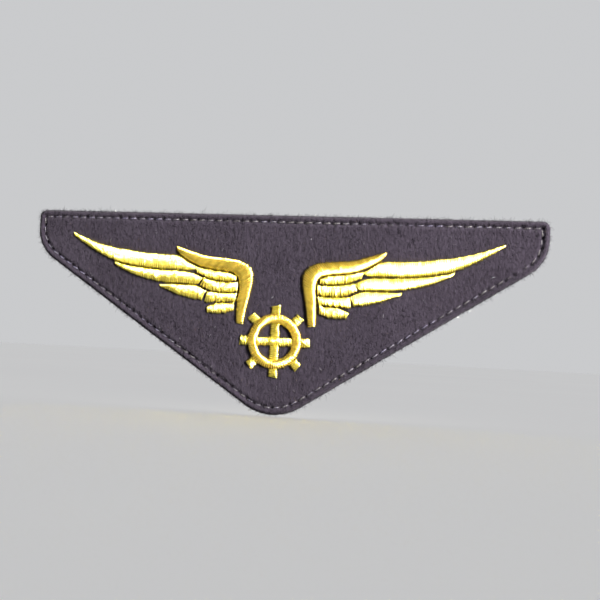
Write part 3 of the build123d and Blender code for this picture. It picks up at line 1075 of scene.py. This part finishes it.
def stabiliser_fibres():
    """Longer fibres pressed flat in the backing's rear face, lying every way."""
    rng = np.random.default_rng(603)
    points = scattered(rng, 5200, backing_outline, 1.1)
    paths = fibre_paths(
        rng, len(points), points, 3.0, (1.2, 4.5), (0.0, 0.02), lambda p: -back_hollow(p)
    )
    paths[..., 2] *= -1
    tone = rng.choice(len(nonwoven_fibres), len(points), p=[0.3, 0.4, 0.3])
    thickness = [0.022, 0.028, 0.022]
    fibre_piece("stabiliser_fibres", paths, thickness, nonwoven_fibres, tone)


def back_paths(starts, stops, lie, deep):
    """Threads across the back: out of the backing, flat over it and in again."""
    share = np.array([0.0, 0.04, 0.2, 0.5, 0.8, 0.96, 1.0])
    rise = np.array([0.0, 0.55, 0.92, 1.0, 0.92, 0.55, 0.0])
    flat = starts[:, None] + share[None, :, None] * (stops - starts)[:, None]
    depth = deep + (lie - deep) * rise
    depths = np.broadcast_to(depth[None, :, None], (len(starts), len(share), 1))
    return np.concatenate([flat, depths], axis=2)


def lower_threads(group, seed):
    """What a group's embroidery shows on the back: white thread held between gold loops."""
    rng = np.random.default_rng(seed)
    white_paths, gold_paths = [], []
    for _, _, ends, _, _ in columns[group]:
        a, b = ends[:, 0], ends[:, 1]
        inner = 0.33 + rng.normal(0, 0.03, (len(ends), 1))
        outer = 0.67 + rng.normal(0, 0.03, (len(ends), 1))
        from_a, from_b = a + inner * (b - a), a + outer * (b - a)
        white_paths.append(back_paths(from_a, from_b, -0.02, 0.12))
        gold_paths.append(back_paths(a, from_a + 0.04 * (b - a), 0.0, 0.25))
        gold_paths.append(back_paths(b, from_b - 0.04 * (b - a), 0.0, 0.25))
    thread_piece(
        f"{group}_lower_stitches", np.concatenate(white_paths), white, seed,
        (f"{group}_bobbin_thread",), REAR_THREAD_R,
    )
    thread_piece(
        f"{group}_rear_loops", np.concatenate(gold_paths), gold, seed + 1,
        (), REAR_THREAD_R,
    )


stabiliser_sheet()
stabiliser_fibres()
for number, group in enumerate(columns):
    lower_threads(group, 701 + 10 * number)

# ------------ stage, light and camera


def floor(glow):
    """A pale floor that glows a little, to match the room behind it."""
    material, shader, node, link = new_material("pale_floor")
    place = node("ShaderNodeTexCoord")
    mottle = node("ShaderNodeTexNoise", {"Vector": place.outputs["Object"], "Scale": 6.0, "Detail": 2.0})
    tone = node("ShaderNodeMix", {"Factor": mottle.outputs["Fac"]}, data_type="RGBA")
    tone.inputs[6].default_value = (0.54, 0.54, 0.545, 1)
    tone.inputs[7].default_value = (0.57, 0.57, 0.57, 1)
    link(tone.outputs[2], "Base Color")
    shader.inputs["Roughness"].default_value = 0.9
    shader.inputs["Specular IOR Level"].default_value = 0.1
    link(tone.outputs[2], "Emission Color")
    shader.inputs["Emission Strength"].default_value = glow
    half = 8.0
    height = CAD_BOX[0].z - 0.0005
    mesh = bpy.data.meshes.new("floor")
    mesh.from_pydata(
        [(-half, -half, height), (half, -half, height), (half, half, height), (-half, half, height)],
        [],
        [(0, 1, 2, 3)],
    )
    mesh.materials.append(material)
    ground = bpy.data.objects.new("floor", mesh)
    bpy.context.scene.collection.objects.link(ground)
    return ground


def area_light(name, place, aim, size, power, colour):
    """A soft light of a width and a height."""
    data = bpy.data.lights.new(name, "AREA")
    data.shape = "RECTANGLE"
    data.size, data.size_y = size
    data.energy = power
    data.color = colour
    light = bpy.data.objects.new(name, data)
    light.location = place
    light.rotation_euler = (Vector(aim) - Vector(place)).to_track_quat("-Z", "Y").to_euler()
    bpy.context.scene.collection.objects.link(light)
    light.light_linking.receiver_collection = flagged_off


def surroundings(in_front, behind):
    """A pale room: its light is dimmer in front of the badge than behind it."""
    world_made = bpy.data.worlds.new("studio")
    world_made.use_nodes = True
    tree = world_made.node_tree
    background = tree.nodes["Background"]
    background.inputs["Color"].default_value = (0.95, 0.96, 0.98, 1)
    heading = tree.nodes.new("ShaderNodeTexCoord")
    split = tree.nodes.new("ShaderNodeSeparateXYZ")
    fade = tree.nodes.new("ShaderNodeMapRange")
    fade.interpolation_type = "SMOOTHSTEP"
    fade.inputs["From Min"].default_value = -0.5
    fade.inputs["From Max"].default_value = 0.5
    fade.inputs["To Min"].default_value = in_front
    fade.inputs["To Max"].default_value = behind
    tree.links.new(heading.outputs["Generated"], split.inputs["Vector"])
    tree.links.new(split.outputs["Y"], fade.inputs["Value"])
    tree.links.new(fade.outputs["Result"], background.inputs["Strength"])
    bpy.context.scene.world = world_made


def camera(aim_mm, distance_mm, turn, rise, roll, lens):
    """The camera, turned to the badge's right and rolled as the badge hangs on its jacket."""
    turn, rise, roll = (math.radians(v) for v in (turn, rise, roll))
    forward = Vector(
        (-math.sin(turn) * math.cos(rise), math.cos(turn) * math.cos(rise), -math.sin(rise))
    )
    level = Vector((math.cos(turn), math.sin(turn), 0))
    upward = level.cross(forward)
    right = math.cos(roll) * level + math.sin(roll) * upward
    up = -math.sin(roll) * level + math.cos(roll) * upward
    aim = Vector(world([aim_mm[0], aim_mm[1], FACE_D])[:])
    data = bpy.data.cameras.new("camera")
    data.lens = lens
    data.sensor_width = 36
    data.clip_start = 0.005
    data.clip_end = 30
    made = bpy.data.objects.new("camera", data)
    place = aim - forward * distance_mm * MM
    facing = Matrix((right, up, -forward)).transposed().to_4x4()
    made.matrix_world = Matrix.Translation(place) @ facing
    bpy.context.scene.collection.objects.link(made)
    bpy.context.scene.camera = made


# The lamps light the badge and leave the floor out, as a flag in front of a lamp does.
flagged_off = bpy.data.collections.new("flagged_off_the_lamps")
flagged_off.objects.link(floor(0.65))
flagged_off.collection_objects[0].light_linking.link_state = "EXCLUDE"
area_light("key", (0.56, -0.38, 0.19), (0, 0, 0), (0.14, 0.64), 108.0, (1.0, 0.98, 0.96))
area_light("fill", (-0.35, -0.50, 0.20), (0, 0, 0), (0.40, 0.40), 0.5, (0.95, 0.97, 1.0))
area_light("rear", (-0.25, 0.50, 0.30), (0, 0, 0), (0.40, 0.40), 1.2, (1.0, 1.0, 1.0))
surroundings(0.10, 0.62)
camera((5.33, 3.5), 240, 12.8, -3.0, 3.05, 64.4)
bpy.context.scene.view_settings.view_transform = "Standard"
